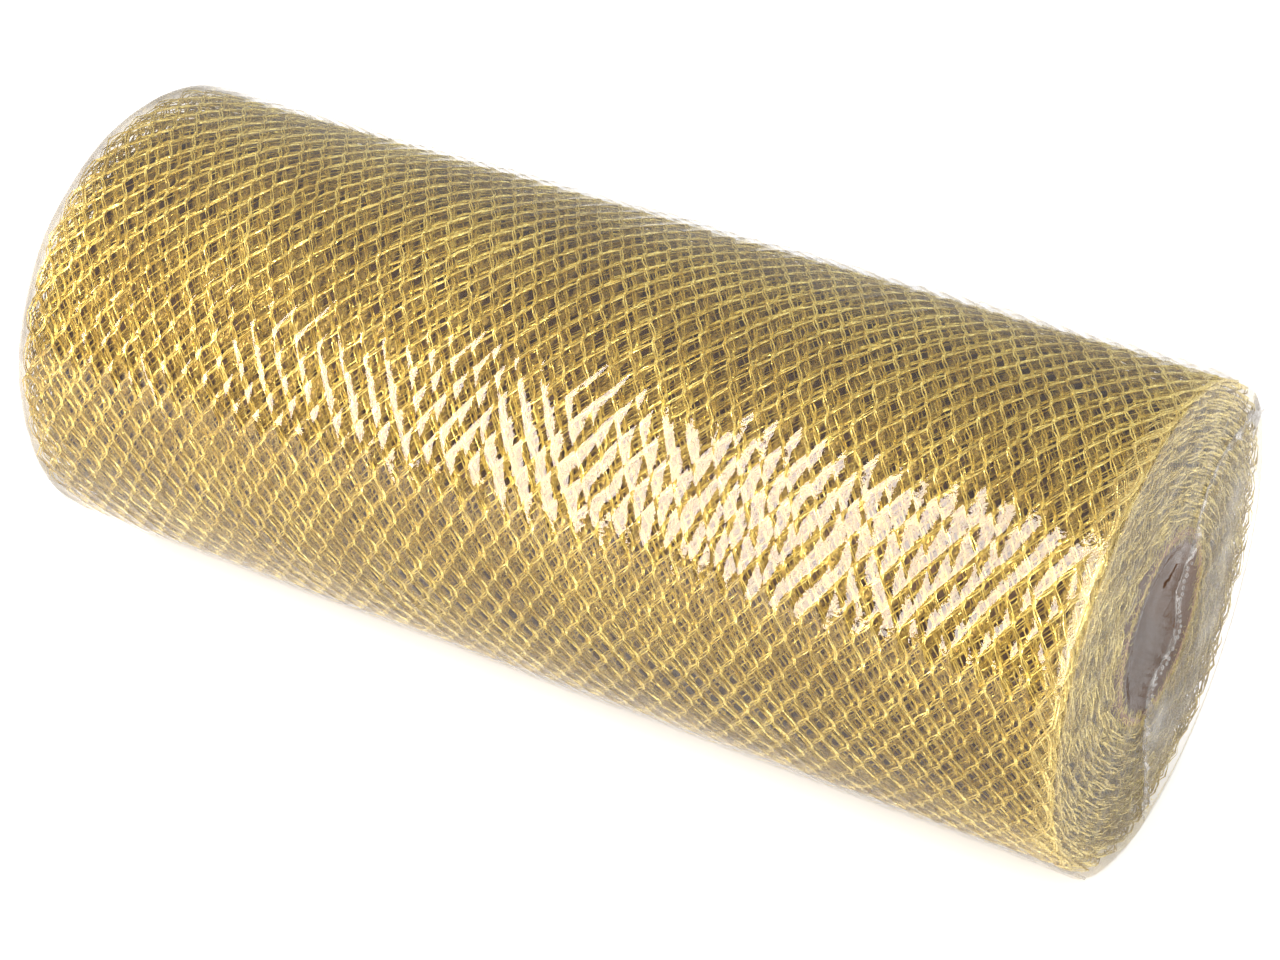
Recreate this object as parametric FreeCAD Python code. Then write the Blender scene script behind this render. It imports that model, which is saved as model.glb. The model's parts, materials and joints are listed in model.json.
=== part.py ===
"""A shrink-wrapped roll of gold net ribbon wound on a paperboard core.

Every length is in millimetres and every angle in degrees. The roll lies on its side: its axis is X, Z is
up, and the origin is on the axis, halfway along the core. The film is sealed at the +X end and open at the
-X end. Each sub-part is written to parts/NODE.step.
"""

import FreeCAD, Part
import math
import os

from FreeCAD import Placement, Rotation, Vector

# The paperboard core, wound from plies of kraft paper
CORE_BORE_RADIUS = 19.05
CORE_LENGTH = 250.0
PLY_THICKNESS = 0.38
GLUE_LINE = 0.03
PLY_LEAD = 82.0  # how far a ply's strip climbs along the core in one turn
PLY_GAP = 0.7  # between the edges of neighbouring turns of one ply's strip
PLY_GAP_START = 35.0  # the angle at which the innermost ply's gap starts

# The net ribbon, wound as one continuous strip
NET_WIDTH = 250.0
NET_THICKNESS = 0.5
TURN_PITCH = 0.7
HALF_TURNS = 88
TAIL_ANGLE = -32.0  # where the net ends, from +Y towards +Z

# The two strips of adhesive tape that hold the net's ends
START_TAPE_THICKNESS = 0.12
START_TAPE_WIDTH = 18.0
START_TAPE_MARGIN = 6.0  # bare core at each end of the tape
START_TAPE_SHOWING = 4.0  # tape in front of the net's first edge
TAIL_TAPE_THICKNESS = 0.08
TAIL_TAPE_LENGTH = 60.0
TAIL_TAPE_WIDTH = 25.0
TAIL_TAPE_STEP = 1.6  # how far the tape takes to come down from the net's edge

# The shrink-film bag
FILM_THICKNESS = 0.15
FILM_SLACK = 0.35  # between the outermost turn and the film
FILM_END_SLACK = 0.8  # between the net's edges and the film over each end
FILM_CORNER = 1.0  # inner radius where the side turns into an end
FILM_MOUTH_RADIUS = 26.0  # the hole that the film has shrunk back to at the open end
FILM_BEAD_RADIUS = 0.45  # the curled rim of that hole
END_SEAL_HEIGHT = 2.0
END_SEAL_THICKNESS = 0.3
END_SEAL_MARGIN = 3.5  # between the seal's ends and the film's rim
END_SEAL_TOP = 32.0  # where the seal starts at the rim, from +Y towards +Z
END_SEAL_BOTTOM = -91.0  # and where it ends
END_SEAL_KNEE = (11.0, 3.0)  # the Y and Z of the bend inside the core's mouth
END_SEAL_BOW = 0.22  # how far each half bulges off its chord, as a share of the chord
SIDE_SEAL_RADIUS = 0.5
SIDE_SEAL_ANGLE = -121.0  # from +Y towards +Z, so it is in front and low down

CLEARANCE = 0.05  # between wound pieces that lie on each other
OVERCUT = 1.0  # how far a cutting tool runs past what it cuts

PLY_NAMES = ("core_inner_ply", "core_middle_ply_a", "core_middle_ply_b", "core_outer_ply")
X_AXIS = Vector(1, 0, 0)
ORIGIN = Vector(0, 0, 0)

# Radii and places that follow from the driving dimensions
CORE_RADIUS = CORE_BORE_RADIUS + len(PLY_NAMES) * PLY_THICKNESS + (len(PLY_NAMES) - 1) * GLUE_LINE
CENTRE_SHIFT = TURN_PITCH / 4  # a two-centre spiral swings between these two centres
FIRST_RADIUS = CORE_RADIUS + START_TAPE_THICKNESS + 2 * CLEARANCE + CENTRE_SHIFT
NET_RADIUS = FIRST_RADIUS + (HALF_TURNS - 1) * TURN_PITCH / 2 + NET_THICKNESS + CENTRE_SHIFT
FILM_RADIUS = NET_RADIUS + FILM_SLACK + FILM_THICKNESS
REST_HEIGHT = NET_RADIUS + CLEARANCE + FILM_THICKNESS  # the axis is this far above the table
FILM_HALF_LENGTH = max(NET_WIDTH, CORE_LENGTH) / 2 + FILM_END_SLACK + FILM_THICKNESS


def polar(radius, degrees, x=0.0, shift=0.0):
    """The point at that radius and angle about X, moved by shift along the angle's zero direction."""
    a = math.radians(degrees)
    return Vector(x, shift + radius * math.cos(a), radius * math.sin(a))


def cylinder(radius, x_from, x_to):
    """A solid cylinder on the X axis between two stations."""
    return Part.makeCylinder(radius, x_to - x_from, Vector(x_from, 0, 0), X_AXIS)


def arc(radius, from_deg, to_deg, x=0.0, shift=0.0):
    """An arc about X from one angle to another, as an edge."""
    middle = (from_deg + to_deg) / 2
    ends = [polar(radius, a, x, shift) for a in (from_deg, middle, to_deg)]
    return Part.Arc(*ends).toShape()


def line(a, b):
    """A straight edge."""
    return Part.LineSegment(a, b).toShape()


def extruded(edges, length):
    """The closed outline of edges in a plane across X, drawn out to that length along X."""
    face = Part.Face(Part.Wire(Part.__sortEdges__(edges)))
    return face.extrude(Vector(length, 0, 0))


def turned(shape, degrees):
    """The shape turned about X, from +Y towards +Z."""
    shape.Placement = Placement(ORIGIN, Rotation(X_AXIS, degrees)).multiply(shape.Placement)
    return shape


def ply_gap(inner, outer):
    """The space between the edges of a ply's strip: a helical bar that runs past both ends of the core."""
    middle = (inner + outer) / 2
    run_out = PLY_LEAD / 4
    helix = Part.makeHelix(PLY_LEAD, CORE_LENGTH + 2 * run_out, middle)
    near, far = middle - PLY_THICKNESS, middle + PLY_THICKNESS
    low, high = -PLY_GAP / 2, PLY_GAP / 2
    corners = ((near, low), (far, low), (far, high), (near, high), (near, low))
    profile = Part.makePolygon([Vector(r, 0, z) for r, z in corners])
    bar = Part.Wire(helix).makePipeShell([profile], True, True)
    bar.Placement = Placement(Vector(-CORE_LENGTH / 2 - run_out, 0, 0), Rotation(Vector(0, 1, 0), 90))
    # The bar starts away from the tube's own seam, which makes the cut a clean one.
    return turned(bar, PLY_GAP_START)


def ply(index):
    """One ply of the core: a strip of paperboard wound in a helix, each ply a share of a turn on."""
    inner = CORE_BORE_RADIUS + index * (PLY_THICKNESS + GLUE_LINE)
    outer = inner + PLY_THICKNESS
    half = CORE_LENGTH / 2
    tube = cylinder(outer, -half, half).cut(cylinder(inner, -half, half))
    return turned(tube.cut(ply_gap(inner, outer)), index * 360.0 / len(PLY_NAMES))


def half_turn(index, beyond=0.0):
    """Radius, centre shift and angles of one half turn of the net's inner face, or of a face beyond it."""
    radius = FIRST_RADIUS + index * TURN_PITCH / 2 + beyond
    if index % 2:
        return radius, CENTRE_SHIFT, 180.0, 360.0
    return radius, -CENTRE_SHIFT, 0.0, 180.0


def net_web():
    """The net ribbon: one strip wound in a two-centre spiral, each half turn an arc."""
    x = -NET_WIDTH / 2
    edges = []
    for face in (0.0, NET_THICKNESS):
        for index in range(HALF_TURNS):
            radius, shift, start, end = half_turn(index, face)
            edges.append(arc(radius, start, end, x, shift))
    for index, angle_of in ((0, 2), (HALF_TURNS - 1, 3)):
        inner, outer = half_turn(index), half_turn(index, NET_THICKNESS)
        ends = [polar(h[0], h[angle_of], x, h[1]) for h in (inner, outer)]
        edges.append(line(*ends))
    return turned(extruded(edges, NET_WIDTH), net_start_angle())


def net_start_angle():
    """The angle of the spiral's zero direction, so that the net ends at TAIL_ANGLE."""
    return TAIL_ANGLE - 180.0 * (HALF_TURNS % 2)


def start_tape():
    """Double-sided tape on the core, under the net's first edge."""
    inner = CORE_RADIUS + CLEARANCE
    outer = inner + START_TAPE_THICKNESS
    before = -math.degrees(START_TAPE_SHOWING / inner)
    after = before + math.degrees(START_TAPE_WIDTH / inner)
    x = -CORE_LENGTH / 2 + START_TAPE_MARGIN
    edges = [
        arc(inner, before, after, x),
        arc(outer, before, after, x),
        line(polar(inner, before, x), polar(outer, before, x)),
        line(polar(inner, after, x), polar(outer, after, x)),
    ]
    return turned(extruded(edges, CORE_LENGTH - 2 * START_TAPE_MARGIN), net_start_angle())


def tail_tape():
    """Clear tape over the net's last edge: on the tail, down the step, and on the turn below."""
    x = -TAIL_TAPE_LENGTH / 2
    last = half_turn(HALF_TURNS - 1, NET_THICKNESS + CLEARANCE)
    below = half_turn(HALF_TURNS - 2, NET_THICKNESS + CLEARANCE)
    edge = last[3]
    reach = math.degrees(TAIL_TAPE_WIDTH / 2 / last[0])
    step = math.degrees(TAIL_TAPE_STEP / last[0])
    rows = []
    edges = []
    for extra in (0.0, TAIL_TAPE_THICKNESS):
        on_tail = (last[0] + extra, edge - reach, edge, x, last[1])
        on_turn = (below[0] + extra, edge + step, edge + reach, x, below[1])
        edges += [arc(*on_tail), arc(*on_turn)]
        row = [polar(a[0], angle, x, a[4]) for a in (on_tail, on_turn) for angle in a[1:3]]
        edges.append(line(row[1], row[2]))
        rows.append(row)
    edges += [line(rows[0][i], rows[1][i]) for i in (0, 3)]
    return turned(extruded(edges, TAIL_TAPE_LENGTH), net_start_angle())


def film_form(inset):
    """The bag's outside, or the space inside it: a round-edged solid cylinder with a flat to rest on."""
    half = FILM_HALF_LENGTH - inset
    form = cylinder(FILM_RADIUS - inset, -half, half)
    rims = [e for e in form.Edges if isinstance(e.Curve, Part.Circle)]
    form = form.makeFillet(FILM_CORNER + FILM_THICKNESS - inset, rims)
    wide = FILM_RADIUS + OVERCUT
    long = half + OVERCUT
    floor = REST_HEIGHT - inset
    cutter = Part.makeBox(2 * long, 2 * wide, OVERCUT, Vector(-long, -wide, -floor - OVERCUT))
    return form.cut(cutter)


def film_bag():
    """The film: closed over the +X end, and shrunk back to a round mouth with a curled rim at -X."""
    bag = film_form(0.0).cut(film_form(FILM_THICKNESS))
    mouth_x = -FILM_HALF_LENGTH + FILM_THICKNESS / 2
    hole = cylinder(FILM_MOUTH_RADIUS, -FILM_HALF_LENGTH - OVERCUT, mouth_x + FILM_CORNER)
    bead = Part.makeTorus(FILM_MOUTH_RADIUS, FILM_BEAD_RADIUS, Vector(mouth_x, 0, 0), X_AXIS)
    return bag.cut(hole).fuse(bead)


def bowed(start, end, bow, side):
    """Three points of an arc that bulges off its chord to one side, by a share of the chord."""
    chord = end - start
    out = X_AXIS.cross(chord) * (bow * side)
    return start, (start + end) / 2 + out, end


def end_seal():
    """The welded seam across the sealed end: a low S-shaped fin of film that crosses the core's mouth."""
    knee = Vector(FILM_HALF_LENGTH, *END_SEAL_KNEE)
    reach = FILM_RADIUS - END_SEAL_MARGIN
    top, bottom = (polar(reach, angle, FILM_HALF_LENGTH) for angle in (END_SEAL_TOP, END_SEAL_BOTTOM))
    arcs = (bowed(top, knee, END_SEAL_BOW, -1), bowed(knee, bottom, END_SEAL_BOW, 1))
    path = Part.Wire([Part.Arc(*points).toShape() for points in arcs])
    band = path.makeOffset2D(END_SEAL_THICKNESS, 0, True, True)
    return band.extrude(Vector(END_SEAL_HEIGHT, 0, 0))


def side_seal():
    """The welded bead where the bag's two long edges meet."""
    half = FILM_HALF_LENGTH - FILM_CORNER - FILM_THICKNESS
    bead = Part.makeCylinder(
        SIDE_SEAL_RADIUS, 2 * half, polar(FILM_RADIUS, SIDE_SEAL_ANGLE, -half), X_AXIS
    )
    return bead.cut(film_form(0.0))


def report_sizes(nodes):
    """Prints the sizes that follow from the driving dimensions, and each node's volume."""
    length = sum(math.pi * (half_turn(i)[0] + NET_THICKNESS / 2) for i in range(HALF_TURNS))
    print(f"core {2 * CORE_RADIUS:.2f} mm across")
    print(f"net {2 * NET_RADIUS:.2f} mm across and {length / 1000:.2f} m long")
    print(f"film {2 * FILM_RADIUS:.2f} mm across, axis {REST_HEIGHT:.2f} mm above the table")
    for name, shape in nodes.items():
        print(f"{name}: {shape.Volume:.1f} mm3, valid {shape.isValid()}, {len(shape.Solids)} solid")


def main():
    nodes = {name: ply(index) for index, name in enumerate(PLY_NAMES)}
    nodes["start_tape"] = start_tape()
    nodes["net_web"] = net_web()
    nodes["tail_tape"] = tail_tape()
    nodes["film_bag"] = film_bag()
    nodes["film_end_seal"] = end_seal()
    nodes["film_side_seal"] = side_seal()
    os.makedirs("parts", exist_ok=True)
    for name, shape in nodes.items():
        shape.exportStep(f"parts/{name}.step")
    report_sizes(nodes)


main()
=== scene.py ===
"""The looks of a roll of gold wrapping net on a paperboard core, shrink-wrapped in clear film.

Lengths are in metres. The roll's axis is X, Z is up, and angles about the axis run from +Y towards +Z.
"""

import json
import logging
import math
from collections.abc import Callable, Iterator, Sequence
from contextlib import contextmanager
from dataclasses import dataclass, field
from enum import Enum

import bpy
import numpy as np
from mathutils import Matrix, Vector


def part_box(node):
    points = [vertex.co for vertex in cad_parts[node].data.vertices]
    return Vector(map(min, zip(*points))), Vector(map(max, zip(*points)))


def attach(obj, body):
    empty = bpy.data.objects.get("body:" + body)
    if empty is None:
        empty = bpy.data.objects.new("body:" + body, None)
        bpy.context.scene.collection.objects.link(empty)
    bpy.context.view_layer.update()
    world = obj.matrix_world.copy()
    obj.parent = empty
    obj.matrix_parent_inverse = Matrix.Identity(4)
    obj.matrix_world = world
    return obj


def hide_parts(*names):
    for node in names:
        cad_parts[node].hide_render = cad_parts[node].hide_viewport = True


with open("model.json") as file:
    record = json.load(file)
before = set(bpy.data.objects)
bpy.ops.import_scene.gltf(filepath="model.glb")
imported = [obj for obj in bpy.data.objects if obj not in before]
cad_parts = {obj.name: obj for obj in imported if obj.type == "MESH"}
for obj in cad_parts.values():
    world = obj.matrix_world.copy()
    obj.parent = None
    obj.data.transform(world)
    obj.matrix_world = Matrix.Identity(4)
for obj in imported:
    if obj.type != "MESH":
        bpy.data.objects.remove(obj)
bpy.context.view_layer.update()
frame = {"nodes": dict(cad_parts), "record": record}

MM = 0.001
TURN = 2 * math.pi
BODY = "root"
SEED = 41
LOG = logging.getLogger("net_roll")

Colour = tuple[float, float, float, float]
Points = np.ndarray


class Slot(Enum):
    """The record's material slots."""

    BOARD = "core_board"
    TAPE = "adhesive_tape"
    NET = "gold_net"
    FILM = "clear_film"


class Side(Enum):
    """The two ends of the roll, as the sign of X there."""

    SEALED = 1
    OPEN = -1


# --------------------------------------------------------------------------------------------------
# Modelling helpers


def deselect_all() -> None:
    """Leaves edit mode and deselects every object."""
    if bpy.context.object and bpy.context.object.mode != "OBJECT":
        bpy.ops.object.mode_set(mode="OBJECT")
    bpy.ops.object.select_all(action="DESELECT")


def activate(obj: bpy.types.Object) -> None:
    """Makes obj the only selected object, and the active one."""
    deselect_all()
    obj.select_set(True)
    bpy.context.view_layer.objects.active = obj


@contextmanager
def edit_mode(obj: bpy.types.Object, select: str = "SELECT") -> Iterator[None]:
    """Edit mode on obj for the length of a with block.

    Args:
        obj: the mesh object.
        select: what select_all does on the way in, SELECT or DESELECT, or KEEP to leave the selection.
    """
    activate(obj)
    bpy.ops.object.mode_set(mode="EDIT")
    if select != "KEEP":
        bpy.ops.mesh.select_all(action=select)
    yield
    bpy.ops.object.mode_set(mode="OBJECT")


def select_faces(obj: bpy.types.Object, wanted: Callable[[bpy.types.MeshPolygon], bool]) -> None:
    """Selects the faces that pass the test, for an edit_mode block that keeps the selection.

    Args:
        obj: the mesh object.
        wanted: the test.
    """
    with edit_mode(obj, "DESELECT"):
        bpy.ops.mesh.select_mode(type="FACE")
    for face in obj.data.polygons:
        face.select = wanted(face)


def points_of(obj: bpy.types.Object) -> Points:
    """The object's vertices as an array of rows of three."""
    flat = np.empty(len(obj.data.vertices) * 3)
    obj.data.vertices.foreach_get("co", flat)
    return flat.reshape(-1, 3)


def place_points(obj: bpy.types.Object, points: Points) -> None:
    """Moves the object's vertices to those points."""
    obj.data.vertices.foreach_set("co", np.ascontiguousarray(points, dtype=np.float32).ravel())
    obj.data.update()


def named(name: str) -> bpy.types.Object:
    """The object that an operator has just made, with its name and its mesh's name set."""
    obj = bpy.context.object
    obj.name = name
    obj.data.name = name
    return obj


def settled(name: str) -> bpy.types.Object:
    """Names the object that an operator has just made, and moves its place and turn into its mesh."""
    obj = named(name)
    bpy.ops.object.transform_apply(location=True, rotation=True, scale=True)
    return obj


def joined(name: str, parts: Sequence[bpy.types.Object]) -> bpy.types.Object:
    """Joins the parts into the first of them.

    Args:
        name: the joined object's name.
        parts: mesh objects, which are used up.

    Returns:
        The joined object.
    """
    activate(parts[0])
    for part in parts:
        part.select_set(True)
    bpy.ops.object.join()
    return named(name)


def own_copy(obj: bpy.types.Object, name: str) -> bpy.types.Object:
    """A copy of obj that has its own mesh."""
    activate(obj)
    bpy.ops.object.duplicate(linked=False)
    return named(name)


def array_of(obj: bpy.types.Object, count: int, step: Vector) -> None:
    """Repeats obj in its own mesh, count times, each a step further."""
    activate(obj)
    modifier = obj.modifiers.new("repeat", "ARRAY")
    modifier.count = count
    modifier.use_relative_offset = False
    modifier.use_constant_offset = True
    modifier.constant_offset_displace = step
    bpy.ops.object.modifier_apply(modifier=modifier.name)


def grid_of(name: str, rows: int, columns: int) -> tuple[bpy.types.Object, np.ndarray, np.ndarray]:
    """A flat sheet of faces that is to be laid over a shape.

    Args:
        name: the sheet's name.
        rows: how many rows of faces.
        columns: how many columns of faces.

    Returns:
        The sheet, and how far along and how far across it each vertex lies, from 0 to 1.
    """
    deselect_all()
    bpy.ops.mesh.primitive_grid_add(x_subdivisions=rows, y_subdivisions=columns, size=1)
    sheet = named(name)
    flat = points_of(sheet)
    return sheet, flat[:, 0] + 0.5, flat[:, 1] + 0.5


def face_outwards(obj: bpy.types.Object) -> None:
    """Turns the mesh's faces outwards."""
    with edit_mode(obj):
        bpy.ops.mesh.normals_make_consistent(inside=False)


def smooth(obj: bpy.types.Object) -> None:
    """Shades the whole mesh smooth."""
    activate(obj)
    bpy.ops.object.shade_smooth()


def turn_selected(angle: float, axis: str, centre: Sequence[float]) -> None:
    """Turns what is selected in edit mode about an axis through centre, right-handed.

    Args:
        angle: in radians.
        axis: X, Y or Z.
        centre: a point on the axis.
    """
    bpy.ops.transform.rotate(value=-angle, orient_axis=axis, center_override=tuple(centre))


def smooth_step(low: float, high: float, value: np.ndarray) -> np.ndarray:
    """0 below low, 1 above high, and a smooth rise between them."""
    share = np.clip((value - low) / (high - low), 0.0, 1.0)
    return share * share * (3 - 2 * share)


def wander(
    number: int, shortest: float, longest: float, a: np.ndarray, b: np.ndarray, waves: int = 9
) -> np.ndarray:
    """A smooth, irregular field over a plane: a sum of waves whose directions, lengths and phases are drawn.

    Args:
        number: which field it is, added to the seed.
        shortest: the shortest wave, in millimetres.
        longest: the longest wave, in millimetres.
        a: the places' first coordinates, in metres.
        b: the places' second coordinates, in metres.
        waves: how many waves are summed.

    Returns:
        One value for each place, mostly between -1 and 1.
    """
    draw = np.random.default_rng(SEED + number)
    total = np.zeros_like(a, dtype=float)
    for _ in range(waves):
        direction, phase = draw.uniform(0, TURN, 2)
        length = draw.uniform(shortest * MM, longest * MM)
        total += np.sin(TURN * (a * math.cos(direction) + b * math.sin(direction)) / length + phase)
    return total / math.sqrt(waves)


# --------------------------------------------------------------------------------------------------
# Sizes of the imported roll


@dataclass(frozen=True)
class RollPlan:
    """The roll's main sizes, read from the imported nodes."""

    half_net: float
    net_radius: float
    core_radius: float
    bore_radius: float
    film_radius: float
    film_end: float
    rest_height: float
    turns: int = 44
    tail_angle: float = math.radians(-32.0)

    @classmethod
    def from_frame(cls) -> "RollPlan":
        """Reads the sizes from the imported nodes' boxes."""
        net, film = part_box("net_web"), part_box("film_bag")
        bore = next(m for m in frame["record"]["mounts"] if m["name"] == "core_bore")
        return cls(
            half_net=net[1].x,
            net_radius=(net[1].y - net[0].y) / 2,
            core_radius=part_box("core_outer_ply")[1].y,
            bore_radius=bore["dims"]["r_mm"] * MM,
            film_radius=film[1].y,
            film_end=film[1].x,
            rest_height=-film[0].z,
        )


# --------------------------------------------------------------------------------------------------
# Shader helpers


class Graph:
    """A node tree with short calls that add and link nodes."""

    def __init__(self, tree: bpy.types.NodeTree) -> None:
        """Starts on an emptied tree."""
        self.tree = tree
        tree.nodes.clear()

    def add(self, kind: str, **values: object) -> bpy.types.Node:
        """Adds a node.

        Args:
            kind: the node's type, without ShaderNode.
            values: properties, or inputs by name with an underscore for each space. A socket is linked.

        Returns:
            The node.
        """
        node = self.tree.nodes.new("ShaderNode" + kind)
        for key, value in values.items():
            if hasattr(node, key):
                setattr(node, key, value)
            else:
                self.feed(node.inputs[key.replace("_", " ")], value)
        return node

    def feed(self, target: bpy.types.NodeSocket, value: object) -> None:
        """Links a socket to target, or sets target's value."""
        if isinstance(value, bpy.types.NodeSocket):
            self.tree.links.new(value, target)
        else:
            target.default_value = value

    def maths(self, operation: str, a: object, b: object = 0.0) -> bpy.types.NodeSocket:
        """The result of a Math node."""
        node = self.add("Math", operation=operation)
        self.feed(node.inputs[0], a)
        self.feed(node.inputs[1], b)
        return node.outputs[0]

    def times(self, a: object, b: object) -> bpy.types.NodeSocket:
        """The product of two values."""
        return self.maths("MULTIPLY", a, b)

    def plus(self, a: object, b: object) -> bpy.types.NodeSocket:
        """The sum of two values."""
        return self.maths("ADD", a, b)

    def spread(
        self, value: object, low: float, high: float, to: tuple[float, float] = (0.0, 1.0)
    ) -> bpy.types.NodeSocket:
        """value spread from the range low to high onto the range to, and kept inside it."""
        node = self.add("MapRange")
        for index, entry in enumerate((value, low, high, *to)):
            self.feed(node.inputs[index], entry)
        return node.outputs[0]

    def blend(self, share: object, a: object, b: object, blend_type: str = "MIX") -> bpy.types.NodeSocket:
        """A mix of two colours."""
        node = self.add("Mix", data_type="RGBA", blend_type=blend_type)
        self.feed(node.inputs[0], share)
        self.feed(node.inputs[6], a)
        self.feed(node.inputs[7], b)
        return node.outputs[2]

    def place(self) -> bpy.types.NodeSocket:
        """Object coordinates."""
        return self.add("TexCoord").outputs["Object"]

    def noise(
        self, where: object, scale: float, detail: float = 3.0, stretch: tuple = (1, 1, 1)
    ) -> bpy.types.NodeSocket:
        """Noise between 0 and 1, with its features stretched along the axes."""
        mapping = self.add("Mapping", Vector=where, Scale=stretch)
        return self.add("TexNoise", Vector=mapping.outputs[0], Scale=scale, Detail=detail).outputs[0]

    def bump(self, height: object, distance: float, strength: float = 1.0) -> bpy.types.NodeSocket:
        """A normal from a height."""
        return self.add("Bump", Height=height, Distance=distance, Strength=strength).outputs[0]

    def mixed(self, share: object, first: bpy.types.Node, second: bpy.types.Node) -> bpy.types.Node:
        """A mix of two shaders, with that share of the second."""
        node = self.add("MixShader")
        for index, source in enumerate((share, first.outputs[0], second.outputs[0])):
            self.feed(node.inputs[index], source)
        return node

    def finish(self, shader: bpy.types.Node) -> None:
        """Puts the shader out as the material's surface."""
        self.add("OutputMaterial", Surface=shader.outputs[0])


def new_material(name: str) -> tuple[bpy.types.Material, Graph]:
    """An empty node material and its graph."""
    material = bpy.data.materials.new(name)
    material.use_nodes = True
    return material, Graph(material.node_tree)


def new_group(
    name: str, inputs: dict[str, float], outputs: Sequence[str]
) -> tuple[Graph, bpy.types.Node, bpy.types.Node]:
    """An empty node group whose sockets are all numbers.

    Args:
        name: the group's name.
        inputs: each input's name and default.
        outputs: the outputs' names.

    Returns:
        The group's graph, its input node and its output node.
    """
    tree = bpy.data.node_groups.new(name, "ShaderNodeTree")
    for key, default in inputs.items():
        tree.interface.new_socket(key, in_out="INPUT", socket_type="NodeSocketFloat").default_value = default
    for key in outputs:
        tree.interface.new_socket(key, in_out="OUTPUT", socket_type="NodeSocketFloat")
    graph = Graph(tree)
    return graph, tree.nodes.new("NodeGroupInput"), tree.nodes.new("NodeGroupOutput")


def dress(obj: bpy.types.Object, material: bpy.types.Material) -> None:
    """Gives obj that material as its only one."""
    obj.data.materials.clear()
    obj.data.materials.append(material)


def declare(piece: bpy.types.Object, material: bpy.types.Material, node: str) -> None:
    """Dresses a finished piece, and says what it rides on and stands in for.

    Args:
        piece: the piece.
        material: its only material.
        node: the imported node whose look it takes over.
    """
    dress(piece, material)
    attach(piece, BODY)
    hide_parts(node)
    LOG.info("%s: %d faces", piece.name, len(piece.data.polygons))


# --------------------------------------------------------------------------------------------------
# Effects that several finishes share


@dataclass
class Effects:
    """The shader node groups, each built once. Each scale is a count of features to a metre."""

    facets: float = 1900.0
    foil_tone: float = 55.0
    foil_ripple: float = 2600.0
    creases: float = 210.0
    soft_creases: float = 85.0
    clouds: float = 38.0
    dish_weights: float = 48.0
    board_fibre: float = 900.0
    board_mottle: float = 70.0
    board_flecks: float = 700.0

    def __post_init__(self) -> None:
        """Builds the groups."""
        self.glitter = self._glitter()
        self.crinkle = self._crinkle()
        self.pads = self._pads()
        self.fibres = self._fibres()

    def _glitter(self) -> bpy.types.NodeTree:
        """The uneven glint of flat foil yarn: random facets, which the finishes use as a painted glint in the
        colour as well as for smoothness, and slow changes of tone.
        """
        graph, given, out = new_group("tinsel_glitter", {"Grain": 1.0}, ("Glint mask", "Tone", "Height"))
        where = graph.place()
        fine = graph.add("TexVoronoi", Vector=where, Scale=graph.times(given.outputs[0], self.facets))
        tone = graph.noise(where, self.foil_tone, 4.0)
        ripple = graph.noise(where, self.foil_ripple, 2.0)
        graph.feed(out.inputs["Glint mask"], graph.add("SeparateColor", Color=fine.outputs["Color"]).outputs[0])
        graph.feed(out.inputs["Tone"], graph.spread(tone, 0.32, 0.68))
        graph.feed(out.inputs["Height"], graph.plus(ripple, fine.outputs["Distance"]))
        return graph.tree

    def _crinkle(self) -> bpy.types.NodeTree:
        """The crinkles of thin shrunk film: fine creases, soft ripples and faint milky clouds."""
        graph, given, out = new_group("film_crinkle", {"Crease": 1.0}, ("Height", "Cloud"))
        where = graph.place()
        creases = graph.noise(where, self.creases, 5.0, (0.7, 1.2, 1.0))
        ridge = graph.maths("ABSOLUTE", graph.maths("SUBTRACT", creases, 0.5))
        soft = graph.noise(where, self.soft_creases, 2.0, (0.45, 1.0, 1.0))
        sharp = graph.times(ridge, graph.times(given.outputs[0], -1.6))
        graph.feed(out.inputs["Height"], graph.plus(sharp, soft))
        graph.feed(out.inputs["Cloud"], graph.spread(graph.noise(where, self.clouds, 6.0), 0.45, 0.8))
        return graph.tree

    def _pads(self) -> bpy.types.NodeTree:
        """The shallow dishes that taut film makes over the net's cells, creased along the strands."""
        graph, given, out = new_group("film_pads", {"Sag": 1.0}, ("Height", "Wall"))
        marks = graph.add("Attribute", attribute_name="lattice").outputs["Vector"]
        lattice = graph.add("SeparateXYZ", Vector=marks)
        uneven = graph.spread(graph.noise(graph.place(), self.dish_weights, 2.0), 0.38, 0.62)
        dishes = []
        for index, weight in enumerate((uneven, graph.maths("SUBTRACT", 1.0, uneven))):
            offset = graph.maths("SUBTRACT", graph.maths("FRACT", lattice.outputs[index]), 0.5)
            dish = graph.times(graph.times(offset, offset), 4.0)
            dishes.append(graph.times(dish, graph.plus(weight, 0.12)))
        depth = graph.times(graph.plus(dishes[0], dishes[1]), given.outputs[0])
        graph.feed(out.inputs["Height"], graph.times(depth, lattice.outputs[2]))
        graph.feed(out.inputs["Wall"], lattice.outputs[2])
        return graph.tree

    def _fibres(self) -> bpy.types.NodeTree:
        """The felted fibres and flecks of kraft paperboard."""
        graph, given, out = new_group("board_fibres", {"Fleck": 1.0}, ("Fibre", "Mottle", "Height"))
        where = graph.place()
        fibre = graph.noise(where, self.board_fibre, 5.0, (0.25, 1.0, 1.0))
        mottle = graph.noise(where, self.board_mottle, 4.0)
        fleck = graph.add("TexVoronoi", Vector=where, Scale=self.board_flecks).outputs["Distance"]
        specks = graph.spread(fleck, 0.0, 0.22, (1.0, 0.0))
        flecked = graph.plus(fibre, graph.times(specks, given.outputs[0]))
        graph.feed(out.inputs["Fibre"], flecked)
        graph.feed(out.inputs["Mottle"], graph.spread(mottle, 0.35, 0.65))
        graph.feed(out.inputs["Height"], fibre)
        return graph.tree


# --------------------------------------------------------------------------------------------------
# Finishes


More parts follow.
